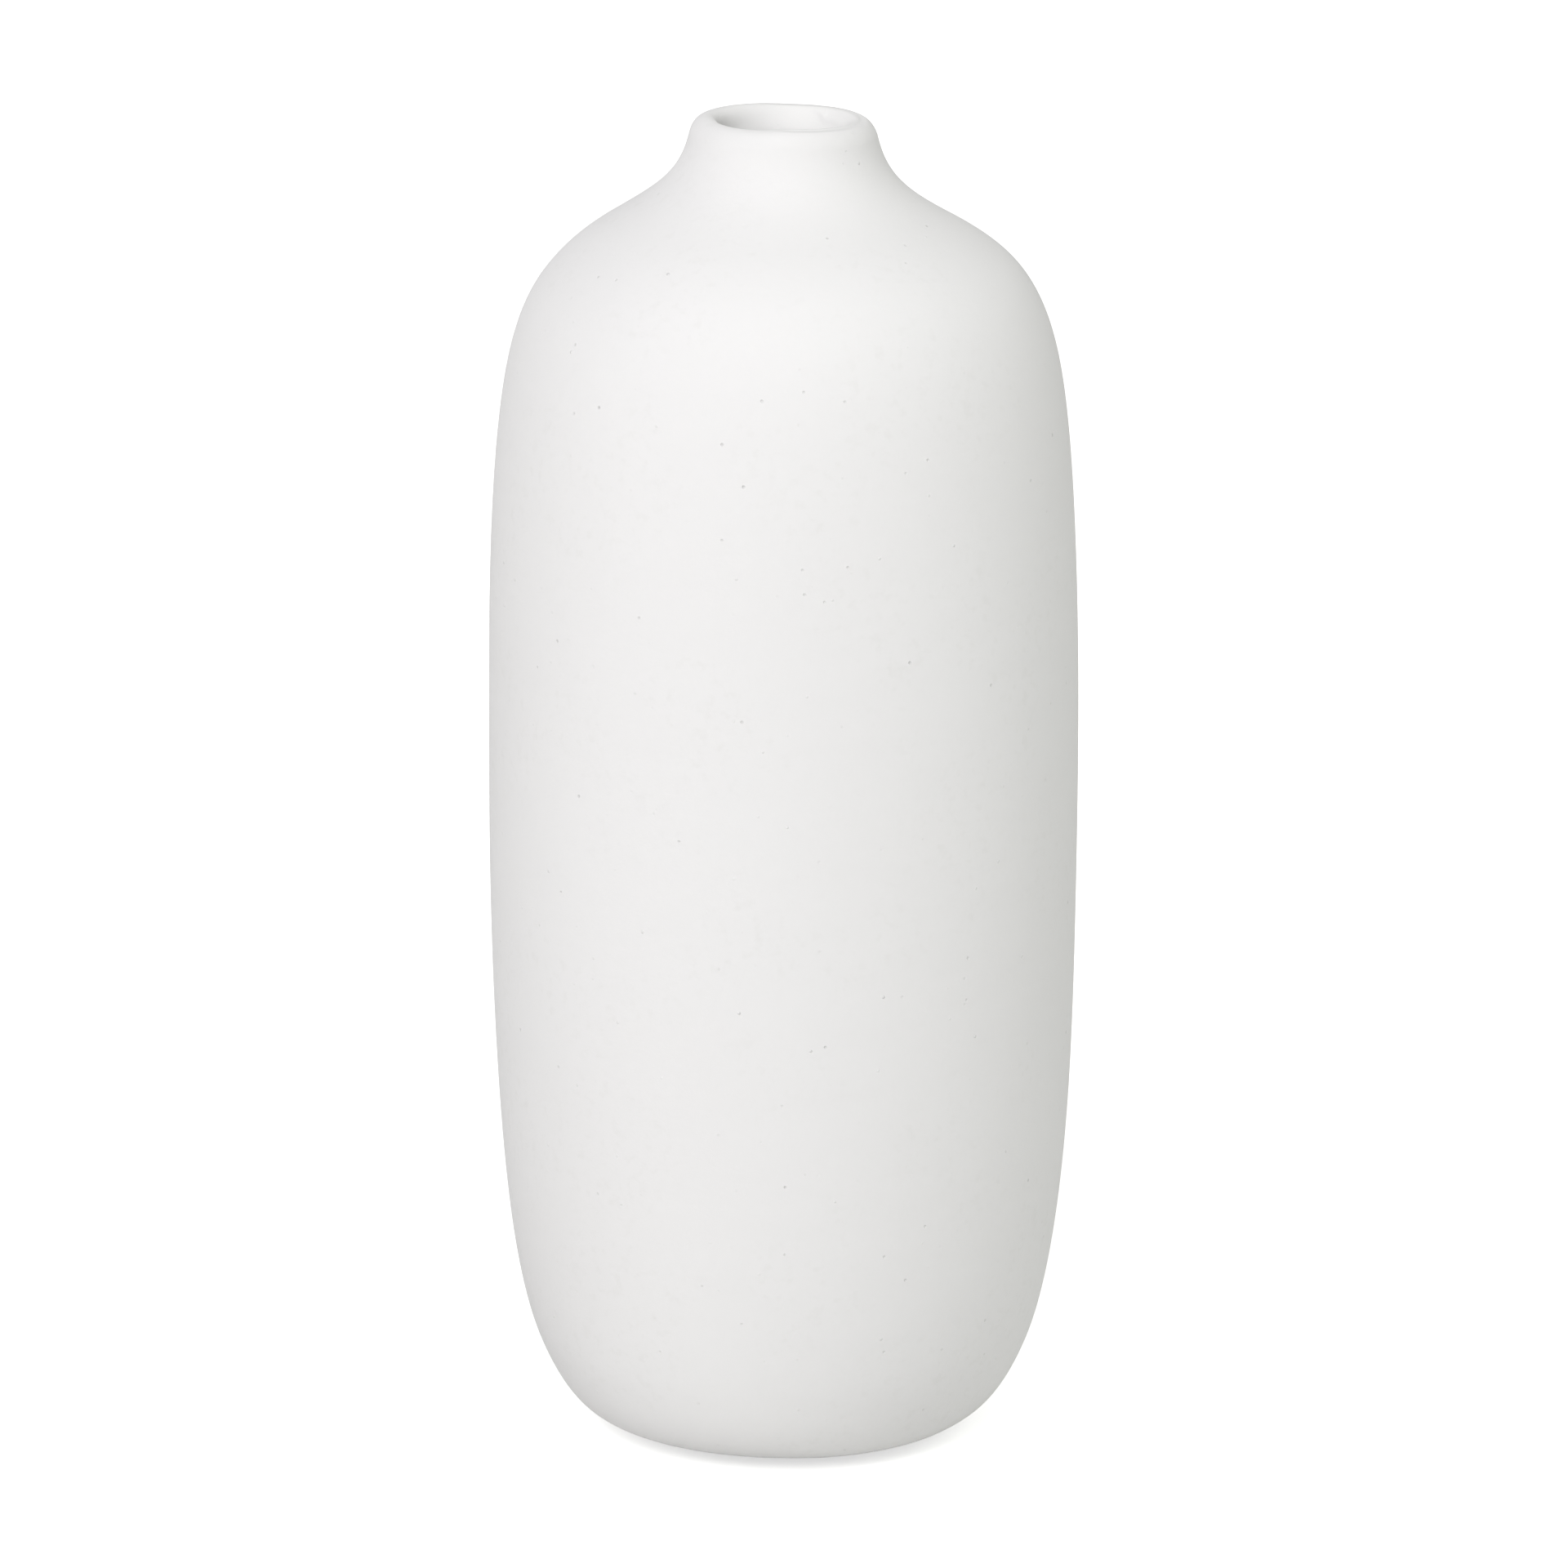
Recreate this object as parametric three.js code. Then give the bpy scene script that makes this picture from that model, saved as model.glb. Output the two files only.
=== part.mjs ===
// A ceramic bud vase: a tall bottle form in unglazed white stoneware, slip-cast with an even wall,
// with round shoulders and a short narrow neck. The inside is lined with glaze so that it holds
// water, and four small bumper pads under the foot ring keep the bare clay off the table.
//
// Millimetres, +Z up. The origin is in the resting plane, on the axis of the vase.

import * as THREE from "three";

// ---- Driving dimensions ----

const HEIGHT = 180; // table to the crown of the lip, on the axis
const BELLY_RADIUS = 39.6;
const CROWN_RADIUS = 10.1; // circle along the highest line of the lip
const THROAT_RADIUS = 7.7; // narrowest opening, below the rounded lip, glaze included
const THROAT_DEPTH = 5.5; // how far below the crown the throat lies

const CLAY_WALL = 2.95; // even thickness left by the casting
const GLAZE_FILM = 0.4;
const BOND = 0.05; // film between two bonded pieces

const FOOT_RADIUS = 21.5; // outer edge of the foot ring
const RECESS_RADIUS = 15; // inner edge of the foot ring
const RECESS_DEPTH = 1.6; // how far the underside is hollowed inside the foot ring
const FLOOR_THICKNESS = 4;

const PAD_COUNT = 4;
const PAD_RADIUS = 2.5;
const PAD_HEIGHT = 0.8; // foot ring above the table
const PAD_CIRCLE_RADIUS = 17.6;
const PAD_FIRST_ANGLE = Math.PI / 4;

// The top was trimmed and wiped by hand, so the neck tips a little and its -X side is higher.
const NECK_TILT = THREE.MathUtils.degToRad(1.4);
const TILT_START = 159; // height where the tilt begins
const TILT_FULL = 171; // height where the whole section has tilted

// The throat was cut a little off the axis, so the mouth flares more at the back right.
const THROAT_SHIFT_X = -1.5;
const THROAT_SHIFT_Y = -0.8;
const SHIFT_START = 164; // height where the inside begins to shift
const SHIFT_FULL = 173;
const SHIFT_FADE = 176; // height above which the mouth comes back to the axis
const SHIFT_INNER = 9; // radius within which a point takes the whole shift
const SHIFT_OUTER = 12.4; // radius beyond which the clay stays where it is

const AROUND = 48; // facets around the vase
const PAD_AROUND = 20;

// ---- The outline of the clay ----

const CLAY_HEIGHT = HEIGHT - PAD_HEIGHT;

// The outer line from the foot edge to the crown of the lip, as smooth curves between a few knots.
// A knot has its radius r and height z above the foot, and the direction of the line there in
// degrees: 0 runs outwards, 90 straight up and 180 inwards. "below" and "above" say how far the
// line keeps that direction on either side of the knot, and steps is how many chords follow it.
const OUTLINE = [
  { at: "foot edge", r: FOOT_RADIUS, z: 0, slope: 27, below: 0, above: 3.7, steps: 6 },
  { at: "heel", r: 33.2, z: 11.5, slope: 68, below: 12, above: 13, steps: 7 },
  { at: "belly", r: BELLY_RADIUS, z: 87, slope: 90, below: 36.5, above: 31, steps: 6 },
  { at: "shoulder", r: 36.2, z: 148.8, slope: 104.5, below: 10.5, above: 8, steps: 7 },
  { at: "neck root", r: 23.2, z: 165.5, slope: 150, below: 9, above: 8, steps: 7 },
  { at: "neck", r: 12.5, z: 176.8, slope: 103.5, below: 5.4, above: 0.4, steps: 4 },
  { at: "crown", r: CROWN_RADIUS, z: CLAY_HEIGHT, slope: 180, below: 1.7, above: 0, steps: 0 },
];
const HEEL = 1;
const NECK_ROOT = 4;
const CROWN = 6;

const heading = (degrees) => {
  const angle = THREE.MathUtils.degToRad(degrees);
  return new THREE.Vector2(Math.cos(angle), Math.sin(angle));
};

// The smooth curve between two knots of the outline.
function stretch(low, high) {
  const start = new THREE.Vector2(low.r, low.z);
  const end = new THREE.Vector2(high.r, high.z);
  return new THREE.CubicBezierCurve(
    start,
    start.clone().addScaledVector(heading(low.slope), low.above),
    end.clone().addScaledVector(heading(high.slope), -high.below),
    end,
  );
}

// Points on the outline from one knot to another, moved square to it into the clay by depth.
function wallLine(firstKnot, lastKnot, depth, stepShare = 1) {
  const points = [];
  for (let k = firstKnot; k < lastKnot; k += 1) {
    const curve = stretch(OUTLINE[k], OUTLINE[k + 1]);
    const steps = Math.ceil(OUTLINE[k].steps * stepShare);
    const isLast = k === lastKnot - 1;
    for (let i = 0; i < steps + (isLast ? 1 : 0); i += 1) {
      const along = curve.getTangent(i / steps);
      const inward = new THREE.Vector2(-along.y, along.x);
      points.push(curve.getPoint(i / steps).addScaledVector(inward, depth));
    }
  }
  return points;
}

// The rounded mouth, from the throat up and over to the crown of the lip.
const throat = new THREE.Vector2(THROAT_RADIUS, CLAY_HEIGHT - THROAT_DEPTH);
const crown = new THREE.Vector2(CROWN_RADIUS, CLAY_HEIGHT);
const THROAT_RISE = 3.5; // how far the throat's upright direction carries up
const LIP_REACH = 1.4; // how far the crown's level direction carries inwards
const mouthCurve = new THREE.CubicBezierCurve(
  throat,
  throat.clone().addScaledVector(heading(90), THROAT_RISE),
  crown.clone().addScaledVector(heading(180), LIP_REACH),
  crown,
);
const MOUTH_STEPS = 10;
const GLAZE_SHARE = 0.2; // the lining reaches this far along the mouth's curve
const EDGE_GAP = 0.01; // share of that curve left free above the lining's upper edge
const GLAZE_FACE = CLAY_WALL + BOND + GLAZE_FILM; // depth of the glazed face behind the outer face

// The mouth's face between two shares of its curve, moved square to it into the clay by depth.
function mouthLine(from, to, depth) {
  const steps = Math.ceil((to - from) * MOUTH_STEPS);
  const points = [];
  for (let i = 0; i <= steps; i += 1) {
    const share = from + ((to - from) * i) / steps;
    const along = mouthCurve.getTangent(share);
    const outward = new THREE.Vector2(along.y, -along.x);
    points.push(mouthCurve.getPoint(share).addScaledVector(outward, depth));
  }
  return points;
}

// The line inside the vase at a depth behind its outer face: out from the middle of the floor, up
// round the inside of the heel, up the wall, and in to the throat and a little way up the mouth.
const INNER_STEP_SHARE = 0.6;
const FLOOR_STEPS = 6;
const FLOOR_FLAT = 17; // how far out the floor stays flat
const FLOOR_RISE = 9; // how far down the wall's direction carries into the floor
const NECK_STEPS = 6;
const NECK_SWEEP = 8; // how far the shoulder's direction carries into the neck
const THROAT_DROP = 5; // how far the throat's direction carries down into the neck

function innerLine(depth, mouthShare) {
  const wall = wallLine(HEEL, NECK_ROOT, depth, INNER_STEP_SHARE);
  const floor = RECESS_DEPTH + FLOOR_THICKNESS + depth - CLAY_WALL;
  const sweep = new THREE.CubicBezierCurve(
    new THREE.Vector2(0, floor),
    new THREE.Vector2(FLOOR_FLAT, floor),
    wall[0].clone().addScaledVector(heading(OUTLINE[HEEL].slope), -FLOOR_RISE),
    wall[0],
  );
  const shoulder = wall.pop();
  const mouth = mouthLine(0, mouthShare, GLAZE_FACE - depth);
  const neck = new THREE.CubicBezierCurve(
    shoulder,
    shoulder.clone().addScaledVector(heading(OUTLINE[NECK_ROOT].slope), NECK_SWEEP),
    mouth[0].clone().addScaledVector(heading(90), -THROAT_DROP),
    mouth[0],
  );
  return [
    ...sweep.getPoints(FLOOR_STEPS).slice(0, -1),
    ...wall,
    ...neck.getPoints(NECK_STEPS).slice(0, -1),
    ...mouth,
  ];
}

// ---- Solids ----

// The hand work on the neck: shifts the points round the throat, and moves the points of the neck
// up or down with their distance from the axis, which tips it.
function trimNeck(geometry) {
  const { smoothstep } = THREE.MathUtils;
  const points = geometry.getAttribute("position");
  for (let i = 0; i < points.count; i += 1) {
    const z = points.getZ(i);
    const radius = Math.hypot(points.getX(i), points.getY(i));
    const near = smoothstep(z, SHIFT_START, SHIFT_FULL) * (1 - smoothstep(z, SHIFT_FADE, HEIGHT));
    const shift = near * (1 - smoothstep(radius, SHIFT_INNER, SHIFT_OUTER));
    const x = points.getX(i) + THROAT_SHIFT_X * shift;
    const y = points.getY(i) + THROAT_SHIFT_Y * shift;
    const tilt = Math.tan(NECK_TILT) * smoothstep(z, TILT_START, TILT_FULL);
    points.setXYZ(i, x, y, z - tilt * x);
  }
  geometry.computeVertexNormals();
  return geometry;
}

// A solid of revolution about +Z, from a profile that starts and ends on the axis.
function turned(profile, around) {
  const geometry = new THREE.LatheGeometry(profile, around);
  geometry.rotateX(Math.PI / 2);
  return geometry;
}

function named(name, geometry, material) {
  const mesh = new THREE.Mesh(geometry, material);
  mesh.name = name;
  return mesh;
}

// The clay: underside and foot ring, the outer face, the lip, and the inner face back to the floor.
function vaseBody() {
  const foot = [
    new THREE.Vector2(0, RECESS_DEPTH),
    new THREE.Vector2(RECESS_RADIUS - RECESS_DEPTH, RECESS_DEPTH),
    new THREE.Vector2(RECESS_RADIUS, 0),
  ];
  const seat = GLAZE_SHARE + EDGE_GAP;
  const profile = [
    ...foot,
    ...wallLine(0, CROWN, 0).slice(0, -1),
    ...mouthLine(seat, 1, 0).reverse(),
    ...innerLine(CLAY_WALL, seat).reverse(),
  ].map((point) => point.setY(point.y + PAD_HEIGHT));
  const clay = new THREE.MeshStandardMaterial({ color: 0xefeeeb, roughness: 0.9, metalness: 0 });
  return named("vase_body", trimNeck(turned(profile, AROUND)), clay);
}

// The glaze inside: a thin watertight cup that follows the clay, from the floor to below the lip.
function interiorGlaze() {
  const profile = [
    ...innerLine(CLAY_WALL + BOND, GLAZE_SHARE),
    ...innerLine(GLAZE_FACE, GLAZE_SHARE).reverse(),
  ].map((point) => point.setY(point.y + PAD_HEIGHT));
  const glaze = new THREE.MeshStandardMaterial({ color: 0xf4f3ee, roughness: 0.15, metalness: 0 });
  return named("interior_glaze", trimNeck(turned(profile, AROUND)), glaze);
}

// One bumper pad, a low rounded button: a flat resting face, a round edge and a flat glued face.
function footPad(index) {
  const edge = 0.6; // radius of the round lower edge
  const arc = new THREE.EllipseCurve(PAD_RADIUS - edge, edge, edge, edge, -Math.PI / 2, 0);
  const profile = [
    new THREE.Vector2(0, 0),
    ...arc.getPoints(3),
    new THREE.Vector2(PAD_RADIUS, PAD_HEIGHT - BOND),
    new THREE.Vector2(0, PAD_HEIGHT - BOND),
  ];
  const silicone = new THREE.MeshStandardMaterial({ color: 0xdfe1de, roughness: 0.4, metalness: 0 });
  const pad = named(`foot_pad_${index + 1}`, turned(profile, PAD_AROUND), silicone);
  const angle = PAD_FIRST_ANGLE + (index * 2 * Math.PI) / PAD_COUNT;
  pad.position.set(PAD_CIRCLE_RADIUS * Math.cos(angle), PAD_CIRCLE_RADIUS * Math.sin(angle), 0);
  return pad;
}

// ---- The assembly ----

const vase = new THREE.Group();
vase.add(vaseBody(), interiorGlaze());
for (let index = 0; index < PAD_COUNT; index += 1) {
  vase.add(footPad(index));
}

export default vase;
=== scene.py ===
"""Looks for the ceramic bud vase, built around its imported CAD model.

The vase is a slip-cast bottle form. Its outside is bare matte clay with a fine tooth, pinholes and
faint sponge marks, its inside is lined with glossy glaze, and it stands on four silicone pads. The
CAD model gives every size and place. The outline is repeated here, so that the clay can be rebuilt
as a smooth surface with its hand-finished mouth.
"""

import math

import bpy
import numpy as np
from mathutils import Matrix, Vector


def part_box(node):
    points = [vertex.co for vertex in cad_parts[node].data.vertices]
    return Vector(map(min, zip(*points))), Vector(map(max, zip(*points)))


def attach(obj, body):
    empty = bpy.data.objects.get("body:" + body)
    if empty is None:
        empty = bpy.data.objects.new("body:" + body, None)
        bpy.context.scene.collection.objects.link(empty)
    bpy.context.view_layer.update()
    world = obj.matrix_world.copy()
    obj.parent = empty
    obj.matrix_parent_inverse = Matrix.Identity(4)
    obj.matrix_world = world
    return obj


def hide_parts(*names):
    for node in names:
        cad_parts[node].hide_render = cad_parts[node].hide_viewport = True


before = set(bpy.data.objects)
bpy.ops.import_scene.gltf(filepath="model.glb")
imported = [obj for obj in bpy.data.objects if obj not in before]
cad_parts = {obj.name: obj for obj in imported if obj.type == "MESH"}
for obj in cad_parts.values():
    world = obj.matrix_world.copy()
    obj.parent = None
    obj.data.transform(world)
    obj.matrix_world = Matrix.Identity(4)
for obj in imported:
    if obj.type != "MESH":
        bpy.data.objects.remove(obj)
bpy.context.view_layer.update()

MM = 0.001  # outlines are written in millimetres, and Blender works in metres
BODY = "root"

FOOT_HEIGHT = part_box("vase_body")[0].z / MM  # the pads hold the clay this far above the table


# ---- Camera ----

CAMERA_DISTANCE = 1.195
CAMERA_ELEVATION = math.radians(14.07)
CAMERA_LENS = 203.9
CAMERA_TARGET = (0.00006, 0.0, 0.0904)
AIM_DROP = math.radians(0.063)  # the lens points this far below the target


def make_camera():
    """The front view, from a little above and about 1.2 metres away."""
    data = bpy.data.cameras.new("camera")
    data.lens = CAMERA_LENS
    data.sensor_width = 36.0
    data.clip_start = 0.05
    data.clip_end = 60.0
    camera = bpy.data.objects.new("camera", data)
    bpy.context.scene.collection.objects.link(camera)
    camera.location = (
        CAMERA_TARGET[0],
        CAMERA_TARGET[1] - CAMERA_DISTANCE * math.cos(CAMERA_ELEVATION),
        CAMERA_TARGET[2] + CAMERA_DISTANCE * math.sin(CAMERA_ELEVATION),
    )
    camera.rotation_euler = (math.pi / 2 - CAMERA_ELEVATION - AIM_DROP, 0.0, 0.0)
    bpy.context.scene.camera = camera


make_camera()


# ---- Outline of the clay, in millimetres above the foot ----

CLAY_HEIGHT = 179.2
CROWN_RADIUS = 10.1
THROAT_RADIUS = 7.7
THROAT_DEPTH = 5.5
CLAY_WALL = 2.95
GLAZE_FILM = 0.4
BOND = 0.05
FOOT_RADIUS = 21.5
RECESS_RADIUS = 15.0
RECESS_DEPTH = 1.6
FLOOR_THICKNESS = 4.0

# Each knot: radius, height, direction of the line in degrees (0 outwards, 90 up, 180 inwards), and
# how far the line keeps that direction below and above the knot.
OUTLINE = [
    (FOOT_RADIUS, 0.0, 27.0, 0.0, 3.7),  # foot edge
    (33.2, 11.5, 68.0, 12.0, 13.0),  # heel
    (39.6, 87.0, 90.0, 36.5, 31.0),  # belly
    (36.2, 148.8, 104.5, 10.5, 8.0),  # shoulder
    (23.2, 165.5, 150.0, 9.0, 8.0),  # neck root
    (12.5, 176.8, 103.5, 5.4, 0.4),  # neck
    (CROWN_RADIUS, CLAY_HEIGHT, 180.0, 1.7, 0.0),  # crown
]
HEEL, NECK_ROOT, CROWN = 1, 4, 6

NECK_TILT = math.tan(math.radians(1.4))  # the -X side of the neck and lip is higher
TILT_START = 159.0  # height above the table where the tilt begins
TILT_FULL = 171.0
THROAT_SHIFT = (-1.5, -0.8)  # the throat sits off the axis, so the mouth flares more at the back right
SHIFT_START, SHIFT_FULL, SHIFT_FADE = 164.0, 173.0, 176.0  # heights above the table
SHIFT_INNER, SHIFT_OUTER = 9.0, 12.4  # radii


def heading(degrees):
    """A unit step in the direction that a knot's degrees give."""
    angle = math.radians(degrees)
    return np.array((math.cos(angle), math.sin(angle)))


def smooth_step(value, low, high):
    """A soft rise from 0 at low to 1 at high."""
    share = np.clip((value - low) / (high - low), 0.0, 1.0)
    return share * share * (3.0 - 2.0 * share)


def curve(start, start_arm, end_arm, end, shares):
    """Points on a cubic curve at shares of its way, and the unit directions there."""
    corners = [np.asarray(p, float) for p in (start, start_arm, end_arm, end)]
    t = np.asarray(shares, float)[:, None]
    u = 1.0 - t
    points = (
        u**3 * corners[0]
        + 3 * u * u * t * corners[1]
        + 3 * u * t * t * corners[2]
        + t**3 * corners[3]
    )
    along = (
        u * u * (corners[1] - corners[0])
        + 2 * u * t * (corners[2] - corners[1])
        + t * t * (corners[3] - corners[2])
    )
    length = np.linalg.norm(along, axis=1, keepdims=True)
    return points, along / np.maximum(length, 1e-9)


def even(steps):
    """Even shares from 0 up to, but not including, 1."""
    return np.arange(steps) / steps


def wall_line(first, last, depth, steps):
    """The outline between two knots, moved square to it into the clay by depth, end knot included."""
    lines = []
    for k in range(first, last):
        r, z, slope, _, above = OUTLINE[k]
        end_r, end_z, end_slope, below, _ = OUTLINE[k + 1]
        start = np.array((r, z))
        end = np.array((end_r, end_z))
        start_arm = start + heading(slope) * above
        end_arm = end - heading(end_slope) * below
        points, along = curve(start, start_arm, end_arm, end, even(steps[k]))
        inward = np.stack((-along[:, 1], along[:, 0]), axis=1)
        lines.append(points + inward * depth)
    end = np.array(OUTLINE[last][:2])
    x, y = heading(OUTLINE[last][2])
    lines.append((end + np.array((-y, x)) * depth)[None, :])
    return np.concatenate(lines)


THROAT = np.array((THROAT_RADIUS, CLAY_HEIGHT - THROAT_DEPTH))
CROWN_POINT = np.array((CROWN_RADIUS, CLAY_HEIGHT))
THROAT_RISE = 3.5
LIP_REACH = 1.4
GLAZE_FACE = CLAY_WALL + BOND + GLAZE_FILM  # depth of the glazed face behind the outer face


def mouth_line(shares, depth):
    """The mouth's face at shares of the way from throat to crown, moved into the clay by depth."""
    start_arm = THROAT + heading(90) * THROAT_RISE
    end_arm = CROWN_POINT + heading(180) * LIP_REACH
    points, along = curve(THROAT, start_arm, end_arm, CROWN_POINT, shares)
    outward = np.stack((along[:, 1], -along[:, 0]), axis=1)
    return points + outward * depth


FLOOR_FLAT = 17.0
FLOOR_RISE = 9.0
NECK_SWEEP = 8.0
THROAT_DROP = 5.0


def inner_line(depth, steps, floor_steps, neck_steps):
    """The line inside the vase at a depth behind its outer face, from the floor to the throat."""
    wall = wall_line(HEEL, NECK_ROOT, depth, steps)
    floor = RECESS_DEPTH + FLOOR_THICKNESS + depth - CLAY_WALL
    rise = wall[0] - heading(OUTLINE[HEEL][2]) * FLOOR_RISE
    sweep, _ = curve((0.0, floor), (FLOOR_FLAT, floor), rise, wall[0], even(floor_steps))
    shoulder = wall[-1]
    throat = THROAT + heading(0) * (GLAZE_FACE - depth)
    leave = shoulder + heading(OUTLINE[NECK_ROOT][2]) * NECK_SWEEP
    arrive = throat - heading(90) * THROAT_DROP
    neck, _ = curve(shoulder, leave, arrive, throat, even(neck_steps))
    return np.concatenate((sweep, wall[:-1], neck))


def rounded(corners, steps=5):
    """A line through corners (r, z, rounding), with each corner cut back by its rounding and bent."""
    points = []
    for k, (r, z, rounding) in enumerate(corners):
        here = np.array((r, z))
        if rounding == 0.0:
            points.append(here[None, :])
            continue
        before = np.array(corners[k - 1][:2])
        after = np.array(corners[k + 1][:2])
        start = here + (before - here) / np.linalg.norm(before - here) * rounding
        end = here + (after - here) / np.linalg.norm(after - here) * rounding
        t = np.linspace(0.0, 1.0, steps)[:, None]
        points.append((1 - t) ** 2 * start + 2 * t * (1 - t) * here + t**2 * end)
    return np.concatenate(points)


# ---- Meshes ----


def waves(seed, count, around, tall):
    """A few gentle waves over angle and height, for the soft unevenness of a fired clay wall."""
    rng = np.random.default_rng(seed)
    turns = rng.integers(1, around + 1, count)
    rises = rng.uniform(-tall, tall, count)
    phases = rng.uniform(0.0, 2 * math.pi, count)

    def height_at(angle, z):
        total = np.zeros(np.broadcast(angle, z).shape)
        for turn, rise, phase in zip(turns, rises, phases):
            total += np.sin(turn * angle + rise * z + phase)
        return total / math.sqrt(count)

    return height_at


def turned_mesh(name, lines, angles):
    """A closed surface of revolution, with the hand work on the neck. lines[a] is the profile at
    angles[a], as rows (r, z) in millimetres above the foot, and it starts and ends on the axis."""
    r = lines[:, :, 0]
    z = lines[:, :, 1] + FOOT_HEIGHT
    crown = CLAY_HEIGHT + FOOT_HEIGHT
    near = smooth_step(z, SHIFT_START, SHIFT_FULL) * (1.0 - smooth_step(z, SHIFT_FADE, crown))
    shift = near * (1.0 - smooth_step(r, SHIFT_INNER, SHIFT_OUTER))
    x = r * np.cos(angles)[:, None] + THROAT_SHIFT[0] * shift
    y = r * np.sin(angles)[:, None] + THROAT_SHIFT[1] * shift
    z = z - NECK_TILT * x * smooth_step(z, TILT_START, TILT_FULL)
    rings = np.stack((x, y, z), axis=2) * MM
    around, rows = rings.shape[:2]
    first = rings[:, 0].mean(axis=0)
    last = rings[:, -1].mean(axis=0)
    middle = rings[:, 1:-1].reshape(-1, 3)
    points = np.concatenate((middle, first[None, :], last[None, :]))
    bottom_pole = len(middle)
    top_pole = bottom_pole + 1
    inner_rows = rows - 2
    here = np.arange(around) * inner_rows
    there = np.roll(here, -1)
    faces = []
    for left, right in zip(here, there):
        faces.append((bottom_pole, right, left))
        faces.extend((left + k, right + k, right + k + 1, left + k + 1) for k in range(inner_rows - 1))
        faces.append((left + inner_rows - 1, right + inner_rows - 1, top_pole))
    mesh = bpy.data.meshes.new(name)
    mesh.from_pydata(points.tolist(), [], [tuple(int(i) for i in f) for f in faces])
    mesh.polygons.foreach_set("use_smooth", [True] * len(mesh.polygons))
    mesh.update()
    piece = bpy.data.objects.new(name, mesh)
    bpy.context.scene.collection.objects.link(piece)
    return piece


def angle_gap(angle, centre):
    """How far apart two angles are, from 0 to pi."""
    return np.abs((angle - centre + math.pi) % (2 * math.pi) - math.pi)


CLAY_AROUND = 320
OUTER_STEPS = (34, 34, 34, 30, 30, 30)
HIDDEN_STEPS = (0, 6, 6, 8)
CAST_WAVES = waves(seed=11, count=14, around=7, tall=0.12)
RIM_WAVES = waves(seed=5, count=6, around=5, tall=0.0)
CAST_UNEVEN = 0.07  # how far the outer wall wanders
RIM_UNEVEN = 0.05  # how far the lip wanders up and down
HEEL_START, HEEL_FULL = 2.0, 12.0  # heights above the foot where the wall's waves grow
MOUTH_START, MOUTH_FULL = 168.0, 176.0  # and where they die out
RIM_START, RIM_FULL = 175.0, 179.0  # heights above the foot where the lip's level takes hold

LIP_SHARES = np.linspace(1.0, 0.40, 21)  # close rows along the seen part of the mouth's curve
LOW_SHARES = np.linspace(0.8, 0.0, 5)  # wider rows from there down to the clay's seat for the glaze
LEDGE_ROWS = 6  # rows along that seat, on the clay and on the back of the glaze

# Hand work on the lip and the foot, in millimetres. An arc is the middle of a stretch in degrees, and
# how far from it in radians the stretch is whole and has faded out.
RIDGE_ARC = (38, 0.2, 0.5)
RIDGE_HEIGHT = 0.22
RIDGE_SHARE = 0.53  # where it runs on the mouth's curve
RIDGE_WIDTH = 0.07  # as a share of that curve
RIDGE_CLIMB = 0.7  # how fast it climbs towards the crown past its turn, in shares per radian
RIDGE_TURN = math.radians(46)

RIGHT_ARC = (2, 1.45, 1.95)
FRONT_ARC = (-45, 0.6, 1.3)
BACK_ARC = (84, 0.0, 0.75)
RIGHT_CUT = 0.08
FRONT_CUT = 0.02
SECOND_CUT = 0.18
SECOND_START, SECOND_FULL = 9.95, 10.25  # radii where the second cut begins and is at its depth
BACK_CUT = 0.10
BACK_LIFT = 0.11

WIPED_ARC = (-130, 0.3, 0.8)
WIPED_DEPTH = 0.28

SAG_ARC = (-58, 0.15, 0.6)
SAG_DEPTH = 0.2
SAG_INNER, SAG_OUTER = 20.3, 21.2  # radii, clear of the pads
SAG_FULL, SAG_GONE = 1.5, 5.0  # heights above the foot


def on_arc(angle, arc):
    """How fully an angle lies on an arc, from 1 on its whole stretch to 0 where it has faded out."""
    middle, whole, gone = arc
    return 1.0 - smooth_step(angle_gap(angle, math.radians(middle)), whole, gone)


def lip_ridge(angle, shares):
    """How far the inside of the lip stands proud at shares of the mouth's curve: the knife's level
    land at the back right ends in a soft ridge."""
    centre = RIDGE_SHARE + RIDGE_CLIMB * max(0.0, angle - RIDGE_TURN)
    return RIDGE_HEIGHT * on_arc(angle, RIDGE_ARC) * np.exp(-(((shares - centre) / RIDGE_WIDTH) ** 2))


def knife_cut(angle, r):
    """How much of the crown the knife took off: a level cut all along the right side, deeper at the
    back, with a second and lower cut outside it at the front right. The left side was wiped round."""
    front = FRONT_CUT + SECOND_CUT * smooth_step(r, SECOND_START, SECOND_FULL)
    right = RIGHT_CUT + on_arc(angle, FRONT_ARC) * front
    return on_arc(angle, RIGHT_ARC) * right + BACK_CUT * on_arc(angle, BACK_ARC)


def foot_sag(angle, r, z):
    """How far the outer edge of the foot sagged in the firing, at the front right."""
    edge = smooth_step(r, SAG_INNER, SAG_OUTER) * (1.0 - smooth_step(z, SAG_FULL, SAG_GONE))
    return SAG_DEPTH * on_arc(angle, SAG_ARC) * edge


def rim_level(angle):
    """How high the lip stands: it wanders a little, it is higher at the back, and the sponge drew it
    down at the front left."""
    wander = RIM_UNEVEN * RIM_WAVES(angle, 0.0)
    return wander - WIPED_DEPTH * on_arc(angle, WIPED_ARC) + BACK_LIFT * on_arc(angle, BACK_ARC)


GLAZE_TOP = 0.20  # how far up the mouth's curve the glaze reaches
GLAZE_WANDER = 0.02
SEAT_STEP = 0.02  # the clay's seat for the glaze starts this share of the curve lower


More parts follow.
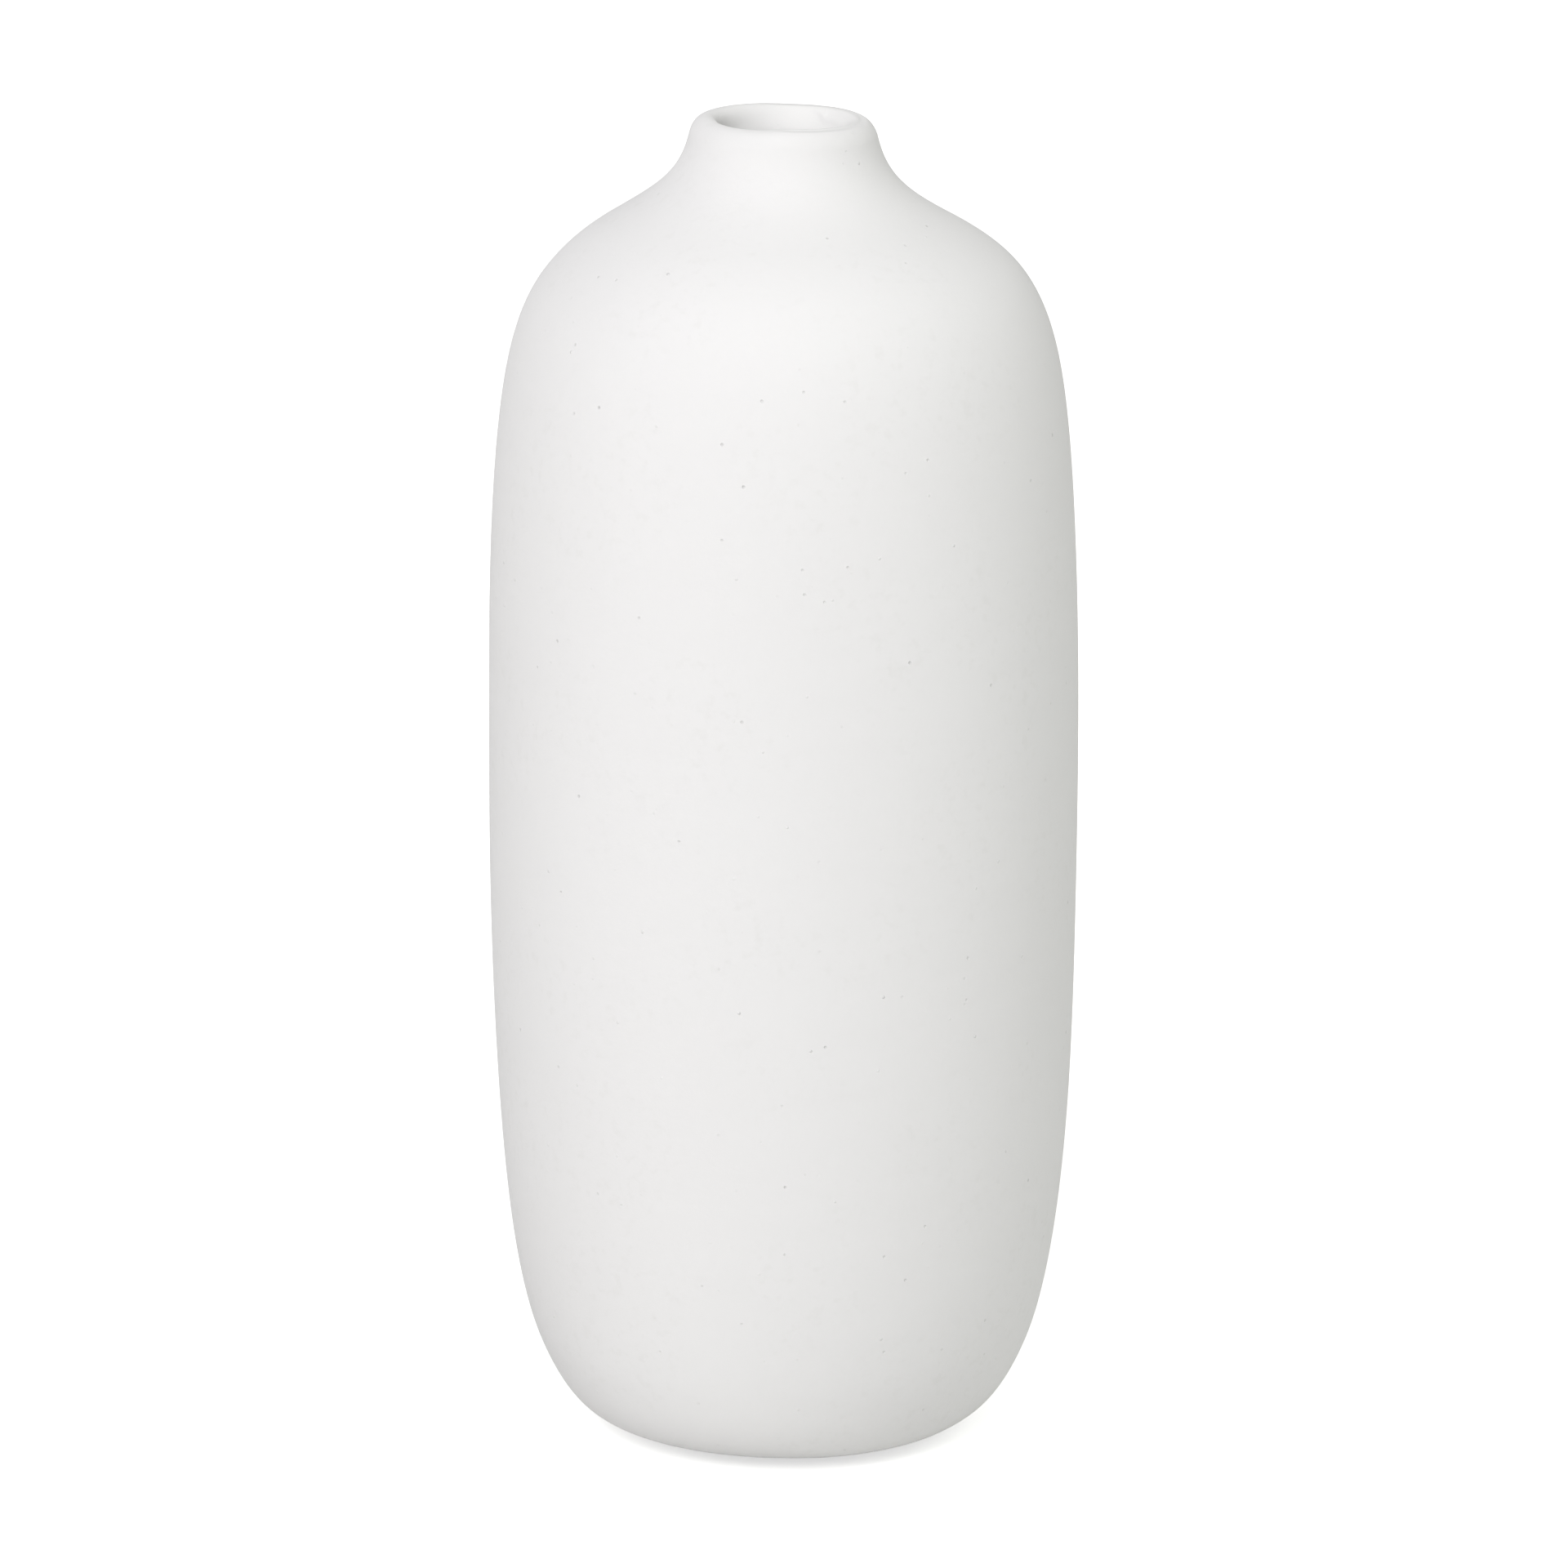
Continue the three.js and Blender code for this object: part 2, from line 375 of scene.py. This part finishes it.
def glaze_share(angle):
    """How far up the mouth's curve the glaze reaches, which wanders a little."""
    return GLAZE_TOP + GLAZE_WANDER * float(RIM_WAVES(angle, 0.0))


# The underside's corners: radius, height above the foot, and how far each is rounded. Its middle is
# sunk a little, and the last corner only gives the direction of the wall.
UNDERSIDE = [
    (0.0, RECESS_DEPTH + 0.25, 0.0),
    (6.5, RECESS_DEPTH + 0.18, 1.5),
    (RECESS_RADIUS - RECESS_DEPTH, RECESS_DEPTH, 0.6),
    (RECESS_RADIUS, 0.0, 0.45),
    (FOOT_RADIUS, 0.0, 0.5),
    (24.8, 1.68, 0.0),
]
ROW_GAP = 0.05  # the wall's first row stays this far above the underside's last


def clay_piece():
    """The fired clay: underside and foot ring, wall, neck and lip, and the face behind the glaze."""
    angles = np.arange(CLAY_AROUND) * 2 * math.pi / CLAY_AROUND
    underside = rounded(UNDERSIDE)[:-1]
    outer = wall_line(0, CROWN, 0.0, OUTER_STEPS)
    outer = outer[outer[:, 1] > underside[-1][1] + ROW_GAP][:-1]
    outside_rows = len(underside) + len(outer)
    hidden = inner_line(CLAY_WALL, HIDDEN_STEPS, floor_steps=8, neck_steps=8)[::-1]
    lines = []
    for angle in angles:
        seat = glaze_share(angle) - SEAT_STEP
        shown = np.concatenate((LIP_SHARES, seat + (LIP_SHARES[-1] - seat) * LOW_SHARES))
        lip = mouth_line(shown, 0.0)
        lip += (mouth_line(shown, -1.0) - lip) * lip_ridge(angle, shown)[:, None]
        ledge = mouth_line(np.linspace(seat, 0.0, LEDGE_ROWS), GLAZE_FACE - CLAY_WALL)
        line = np.concatenate((underside, outer, lip, ledge, hidden))
        outside = np.zeros(len(line))
        outside[:outside_rows] = 1.0
        r = line[:, 0]
        z = line[:, 1]
        uneven = CAST_UNEVEN * CAST_WAVES(angle, z) * (1.0 - smooth_step(z, MOUTH_START, MOUTH_FULL))
        r = r + uneven * smooth_step(z, HEEL_START, HEEL_FULL) * outside
        z = np.minimum(z, CLAY_HEIGHT - knife_cut(angle, r)) - foot_sag(angle, r, z)
        z = z + rim_level(angle) * smooth_step(z, RIM_START, RIM_FULL)
        lines.append(np.stack((r, z), axis=1))
    piece = turned_mesh("vase_clay", np.array(lines), angles)
    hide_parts("vase_body")
    return piece


GLAZE_AROUND = 256
GLAZE_STEPS = (0, 26, 24, 22)
GLAZE_WAVES = waves(seed=23, count=18, around=9, tall=0.5)
GLAZE_UNEVEN = 0.05  # how far the glazed face wanders
CALM_START, CALM_FULL = 160.0, 172.0  # heights above the foot where the glaze grows even
FLOOR_CALM = 6.0  # radius inside which the glaze grows even towards the middle of the floor

# The glaze's upper edge, nearly feathered out: how far each row is from its top on the mouth's curve,
# and how far it stands proud as a share of the bead.
EDGE_BEAD = 0.02
EDGE_SHARES = np.array((0.004, 0.0, -0.01, -0.03, -0.06, -0.09))
EDGE_RISES = np.array((-1.0, 0.5, 0.9, 1.0, 0.85, 0.6))
FRONT_SHARES = np.linspace(0.85, 0.0, 8)  # rows from there down to the throat


def glaze_piece():
    """The glaze inside: a thin watertight cup from the floor to its feathered edge below the lip."""
    angles = np.arange(GLAZE_AROUND) * 2 * math.pi / GLAZE_AROUND
    behind = inner_line(CLAY_WALL + BOND, HIDDEN_STEPS, floor_steps=8, neck_steps=8)
    face = inner_line(GLAZE_FACE, GLAZE_STEPS, floor_steps=16, neck_steps=16)[::-1]
    lines = []
    for angle in angles:
        top = glaze_share(angle)
        back = mouth_line(np.linspace(0.0, top, LEDGE_ROWS), GLAZE_FILM)
        edge_shares = top + EDGE_SHARES
        edge = mouth_line(edge_shares, 0.0)
        proud = mouth_line(edge_shares, -1.0) - edge
        edge = edge + proud * (EDGE_BEAD * EDGE_RISES)[:, None]
        front = mouth_line(edge_shares[-1] * FRONT_SHARES, 0.0)
        line = np.concatenate((behind, back, edge, front, face))
        r = line[:, 0].copy()
        z = line[:, 1]
        seen = np.zeros(len(line))
        seen[-len(face) :] = 1.0
        calm = smooth_step(z, CALM_START, CALM_FULL)
        uneven = GLAZE_UNEVEN * (GLAZE_WAVES(angle, z) + 1.0) * (1.0 - calm)
        r -= uneven * smooth_step(r, 0.0, FLOOR_CALM) * seen
        lines.append(np.stack((r, z), axis=1))
    piece = turned_mesh("glaze_lining", np.array(lines), angles)
    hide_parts("interior_glaze")
    return piece


PAD_AROUND = 64


def pad_line(radius, height):
    """A pad's profile from the middle of its underside round to the middle of its top."""
    groove_rounding = 0.08
    return rounded(
        [
            (0.0, 0.0, 0.0),
            (radius * 0.30, 0.0, groove_rounding),
            (radius * 0.34, 0.04, groove_rounding),
            (radius * 0.40, 0.0, groove_rounding),
            (radius - 0.05, 0.0, 0.55),
            (radius, height * 0.93, 0.05),
            (radius * 0.97, height, 0.03),
            (0.0, height, 0.0),
        ]
    )


def pad_piece(number):
    """One stick-on bumper: a low button with a soft shoulder and a faint ring from its mould."""
    node = f"foot_pad_{number}"
    low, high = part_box(node)
    line = pad_line((high.x - low.x) / 2 / MM, (high.z - low.z) / MM)
    angles = np.arange(PAD_AROUND) * 2 * math.pi / PAD_AROUND
    rows = np.stack((line[:, 0], line[:, 1] - FOOT_HEIGHT), axis=1)
    piece = turned_mesh(f"silicone_pad_{number}", np.repeat(rows[None], PAD_AROUND, axis=0), angles)
    centre = (low + high) / 2
    for vertex in piece.data.vertices:
        vertex.co.x += centre.x
        vertex.co.y += centre.y
    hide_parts(node)
    return piece


# ---- Materials ----

SPECK_STEP = (0.37, 0.11, 0.23)  # metres from one seed's field of specks to the next
SPECK_CORE = 0.3  # the full middle of a speck, as a share of its radius
SPECK_FAINTNESS = 3.0  # the higher, the fewer strong specks

CLAY_DULL, CLAY_BRIGHT = (0.804, 0.798, 0.800), (0.809, 0.804, 0.806)
CLAY_MOTTLE = (0.760, 0.754, 0.748)
# painted shade: the dark colour inside the pinholes, which are real dents through the bump
PAINTED_HOLE_SHADE = (0.36, 0.35, 0.335)
GRAIN_COLOUR = (0.95, 0.95, 0.945)

# painted light: the whiter colour on the inside of the lip at the back right, where the key light falls
LIP_LIGHT_COLOUR = (0.875, 0.87, 0.867)
LIP_LIGHT_OUTER, LIP_LIGHT_INNER = 0.0101, 0.0090  # radii, in metres, where the painted light inside the lip begins and is full
LIP_LIGHT_LOW, LIP_LIGHT_HIGH = 0.168, 0.172  # heights
LIP_LIGHT_LEFT, LIP_LIGHT_RIGHT = -0.002, 0.006  # places along X, leaning with Y
LIP_LIGHT_LEAN = 0.3

GLAZE_WARM, GLAZE_BRIGHT = (0.900, 0.892, 0.886), (0.920, 0.914, 0.910)
SILICONE_CLEAN, SILICONE_DUSTY = (0.74, 0.76, 0.76), (0.62, 0.61, 0.58)


class Shading:
    """A node material with short calls for the few nodes used here."""

    def __init__(self, name):
        self.material = bpy.data.materials.new(name)
        self.material.use_nodes = True
        self.tree = self.material.node_tree
        self.shader = self.tree.nodes["Principled BSDF"]
        self.place = self.tree.nodes.new("ShaderNodeTexCoord").outputs["Object"]

    def node(self, kind, **values):
        made = self.tree.nodes.new(kind)
        for key, value in values.items():
            setattr(made, key, value)
        return made

    def link(self, source, target):
        self.tree.links.new(source, target)

    def noise(self, scale, detail=2.0, roughness=0.5, stretch=(1, 1, 1)):
        place = self.place
        if stretch != (1, 1, 1):
            mapping = self.node("ShaderNodeMapping")
            mapping.inputs["Scale"].default_value = stretch
            self.link(place, mapping.inputs["Vector"])
            place = mapping.outputs["Vector"]
        made = self.node("ShaderNodeTexNoise")
        made.inputs["Scale"].default_value = scale
        made.inputs["Detail"].default_value = detail
        made.inputs["Roughness"].default_value = roughness
        self.link(place, made.inputs["Vector"])
        return made.outputs["Fac"]

    def remap(self, value, low, high, to_low=0.0, to_high=1.0):
        made = self.node("ShaderNodeMapRange", interpolation_type="SMOOTHSTEP")
        made.inputs["From Min"].default_value = low
        made.inputs["From Max"].default_value = high
        made.inputs["To Min"].default_value = to_low
        made.inputs["To Max"].default_value = to_high
        self.link(value, made.inputs["Value"])
        return made.outputs["Result"]

    def maths(self, operation, first, second):
        made = self.node("ShaderNodeMath", operation=operation)
        for socket, value in zip(made.inputs, (first, second)):
            if isinstance(value, (int, float)):
                socket.default_value = value
            else:
                self.link(value, socket)
        return made.outputs["Value"]

    def tint(self, share, first, second):
        """A mix of two colours, each a tuple or another node's output."""
        made = self.node("ShaderNodeMix", data_type="RGBA")
        colour_sockets = made.inputs[6:8]
        for socket, value in zip(colour_sockets, (first, second)):
            if isinstance(value, tuple):
                socket.default_value = (*value, 1.0)
            else:
                self.link(value, socket)
        self.link(share, made.inputs["Factor"])
        colour_result = 2
        return made.outputs[colour_result]

    def specks(self, per_metre, radius, seed):
        """Specks up to a radius in metres, round random points in space: many faint and a few strong."""
        moved = self.node("ShaderNodeMapping")
        moved.inputs["Location"].default_value = [seed * step for step in SPECK_STEP]
        self.link(self.place, moved.inputs["Vector"])
        cells = self.node("ShaderNodeTexVoronoi", feature="F1")
        cells.inputs["Scale"].default_value = per_metre
        self.link(moved.outputs["Vector"], cells.inputs["Vector"])
        reach = radius * per_metre
        dot = self.remap(cells.outputs["Distance"], reach, reach * SPECK_CORE)
        split = self.node("ShaderNodeSeparateColor")
        self.link(cells.outputs["Color"], split.inputs["Color"])
        return self.maths("MULTIPLY", dot, self.maths("POWER", split.outputs["Red"], SPECK_FAINTNESS))

    def bump(self, height, distance, under=None):
        made = self.node("ShaderNodeBump")
        made.inputs["Distance"].default_value = distance
        self.link(height, made.inputs["Height"])
        if under is not None:
            self.link(under, made.inputs["Normal"])
        return made.outputs["Normal"]


def painted_lip_light(look):
    """Where painted light whitens the clay: inside the lip, at the back right."""
    parts = look.node("ShaderNodeSeparateXYZ")
    look.link(look.place, parts.inputs["Vector"])
    x, y, z = parts.outputs
    flat = look.node("ShaderNodeCombineXYZ")
    look.link(x, flat.inputs["X"])
    look.link(y, flat.inputs["Y"])
    radius = look.node("ShaderNodeVectorMath", operation="LENGTH")
    look.link(flat.outputs["Vector"], radius.inputs[0])
    inside = look.remap(radius.outputs["Value"], LIP_LIGHT_OUTER, LIP_LIGHT_INNER)
    high = look.remap(z, LIP_LIGHT_LOW, LIP_LIGHT_HIGH)
    right = look.remap(look.maths("ADD", x, look.maths("MULTIPLY", y, LIP_LIGHT_LEAN)), LIP_LIGHT_LEFT, LIP_LIGHT_RIGHT)
    return look.maths("MULTIPLY", inside, look.maths("MULTIPLY", high, right))


def bare_clay():
    """White bisque: a hint of cloudy tint, a fine dry tooth, pinholes with painted shade in them, grains
    and faint wipe marks, and painted light on the inside of the lip at the back right."""
    look = Shading("bare_clay")
    cloud = look.remap(look.noise(22.0), 0.35, 0.65)
    patches = look.remap(look.noise(55.0, detail=1.0), 0.42, 0.62)
    mottle = look.maths("MULTIPLY", look.remap(look.noise(700.0, detail=3.0), 0.5, 0.75), patches)
    base = look.tint(cloud, CLAY_DULL, CLAY_BRIGHT)
    base = look.tint(look.maths("MULTIPLY", mottle, 0.45), base, CLAY_MOTTLE)
    holes = look.specks(per_metre=370.0, radius=0.00026, seed=1)
    grains = look.specks(per_metre=320.0, radius=0.00024, seed=2)
    # pinholes: real dents through the bump, darkened with painted shade
    base = look.tint(look.maths("MULTIPLY", holes, 0.24), base, PAINTED_HOLE_SHADE)
    base = look.tint(look.maths("MULTIPLY", grains, 0.3), base, GRAIN_COLOUR)
    # painted light: a whiter patch on the inside of the lip at the back right
    base = look.tint(painted_lip_light(look), base, LIP_LIGHT_COLOUR)
    look.link(base, look.shader.inputs["Base Color"])
    look.shader.inputs["Specular IOR Level"].default_value = 0.32
    roughness = look.remap(look.noise(900.0), 0.3, 0.7, to_low=0.74, to_high=0.86)
    look.link(roughness, look.shader.inputs["Roughness"])
    wiped = look.bump(look.noise(60.0, stretch=(1, 1, 3.2)), distance=0.00010)
    tooth = look.bump(look.noise(1500.0, detail=4.0, roughness=0.65), distance=0.00003, under=wiped)
    normal = look.bump(look.maths("SUBTRACT", grains, holes), distance=0.00013, under=tooth)
    look.link(normal, look.shader.inputs["Normal"])
    return look.material


def inner_glaze():
    """Clear liner glaze over white clay: glossy and a little wavy, with clouds of a warmer white."""
    look = Shading("inner_glaze")
    cloud = look.remap(look.noise(90.0), 0.35, 0.65)
    look.link(look.tint(cloud, GLAZE_WARM, GLAZE_BRIGHT), look.shader.inputs["Base Color"])
    look.shader.inputs["IOR"].default_value = 1.52
    roughness = look.remap(look.noise(700.0), 0.3, 0.7, to_low=0.09, to_high=0.16)
    look.link(roughness, look.shader.inputs["Roughness"])
    look.link(look.bump(look.noise(380.0, detail=1.0), distance=0.00005), look.shader.inputs["Normal"])
    return look.material


def clear_silicone():
    """Milky clear silicone with a little dust on it."""
    look = Shading("clear_silicone")
    dust = look.remap(look.noise(1500.0, detail=3.0), 0.45, 0.75)
    base = look.tint(look.maths("MULTIPLY", dust, 0.5), SILICONE_CLEAN, SILICONE_DUSTY)
    look.link(base, look.shader.inputs["Base Color"])
    look.link(look.remap(dust, 0.0, 1.0, to_low=0.28, to_high=0.55), look.shader.inputs["Roughness"])
    look.link(look.bump(look.noise(2400.0), distance=0.00002), look.shader.inputs["Normal"])
    return look.material


# ---- The object ----

clay = clay_piece()
clay.data.materials.append(bare_clay())
glaze = glaze_piece()
glaze.data.materials.append(inner_glaze())
silicone = clear_silicone()
pads = [pad_piece(number) for number in range(1, 5)]
for pad in pads:
    pad.data.materials.append(silicone)
for piece in (clay, glaze, *pads):
    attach(piece, BODY)


# ---- Floor, light and colour ----


FLOOR_RADIUS = 9.0
FLOOR_COLOUR = (0.847, 0.851, 0.834)
FLOOR_GLOW = 0.62  # seen by the camera only, so that the floor reads as a bright white sweep
FAR_GLOW = 1.1  # what the glow grows to away from the vase, so that no horizon shows
FAR_START, FAR_END = 0.3, 2.5
LAMP_DISTANCE = 1.6
STUDIO_LIGHT = 0.31  # how strongly the white surroundings light the vase


def make_floor():
    """A plain white sweep under the vase, wide enough that no edge shows."""
    sides = 64
    angles = np.arange(sides) * 2 * math.pi / sides
    ring = [(FLOOR_RADIUS * math.cos(a), FLOOR_RADIUS * math.sin(a), 0.0) for a in angles]
    mesh = bpy.data.meshes.new("floor")
    mesh.from_pydata(ring, [], [tuple(range(sides))])
    floor = bpy.data.objects.new("floor", mesh)
    bpy.context.scene.collection.objects.link(floor)
    look = Shading("floor")
    look.shader.inputs["Base Color"].default_value = (*FLOOR_COLOUR, 1.0)
    look.shader.inputs["Roughness"].default_value = 0.9
    look.shader.inputs["Specular IOR Level"].default_value = 0.1
    look.shader.inputs["Emission Color"].default_value = (1.0, 1.0, 1.0, 1.0)
    seen = look.node("ShaderNodeLightPath").outputs["Is Camera Ray"]
    away = look.node("ShaderNodeVectorMath", operation="LENGTH")
    look.link(look.place, away.inputs[0])
    glow = look.remap(away.outputs["Value"], FAR_START, FAR_END, FLOOR_GLOW, FAR_GLOW)
    look.link(look.maths("MULTIPLY", seen, glow), look.shader.inputs["Emission Strength"])
    mesh.materials.append(look.material)


def softbox(name, azimuth, elevation, size, power, tint=(1.0, 1.0, 1.0)):
    """A square soft light aimed at the middle of the vase. Azimuth 0 is the camera's side."""
    data = bpy.data.lights.new(name, "AREA")
    data.shape = "SQUARE"
    data.size = size
    data.energy = power
    data.color = tint
    lamp = bpy.data.objects.new(name, data)
    bpy.context.scene.collection.objects.link(lamp)
    turn = math.radians(azimuth)
    rise = math.radians(elevation)
    lamp.location = (
        LAMP_DISTANCE * math.sin(turn) * math.cos(rise),
        -LAMP_DISTANCE * math.cos(turn) * math.cos(rise),
        CAMERA_TARGET[2] + LAMP_DISTANCE * math.sin(rise),
    )
    lamp.rotation_euler = (math.pi / 2 - rise, 0.0, turn)


def make_world(strength):
    """An even white studio: it lights the vase at a strength, and the camera sees it as pure white."""
    world = bpy.data.worlds.new("studio")
    world.use_nodes = True
    nodes = world.node_tree.nodes
    links = world.node_tree.links
    background = nodes["Background"]
    background.inputs["Color"].default_value = (1.0, 1.0, 1.0, 1.0)
    seen = nodes.new("ShaderNodeLightPath").outputs["Is Camera Ray"]
    level = nodes.new("ShaderNodeMapRange")
    level.inputs["To Min"].default_value = strength
    level.inputs["To Max"].default_value = 1.0
    links.new(seen, level.inputs["Value"])
    links.new(level.outputs["Result"], background.inputs["Strength"])
    bpy.context.scene.world = world


make_floor()
softbox("key", azimuth=-20, elevation=40, size=0.8, power=14.7)
softbox("low_key", azimuth=-40, elevation=8, size=0.8, power=2.8, tint=(1.0, 0.93, 0.96))
softbox("right_fill", azimuth=85, elevation=40, size=0.8, power=5.45, tint=(0.985, 1.0, 0.93))
softbox("right_edge", azimuth=115, elevation=15, size=0.8, power=0.9, tint=(0.96, 1.0, 0.90))
softbox("back_left", azimuth=-150, elevation=15, size=0.8, power=4.2)
softbox("overhead", azimuth=0, elevation=88, size=1.2, power=2.3)
make_world(STUDIO_LIGHT)
bpy.context.scene.view_settings.view_transform = "Standard"
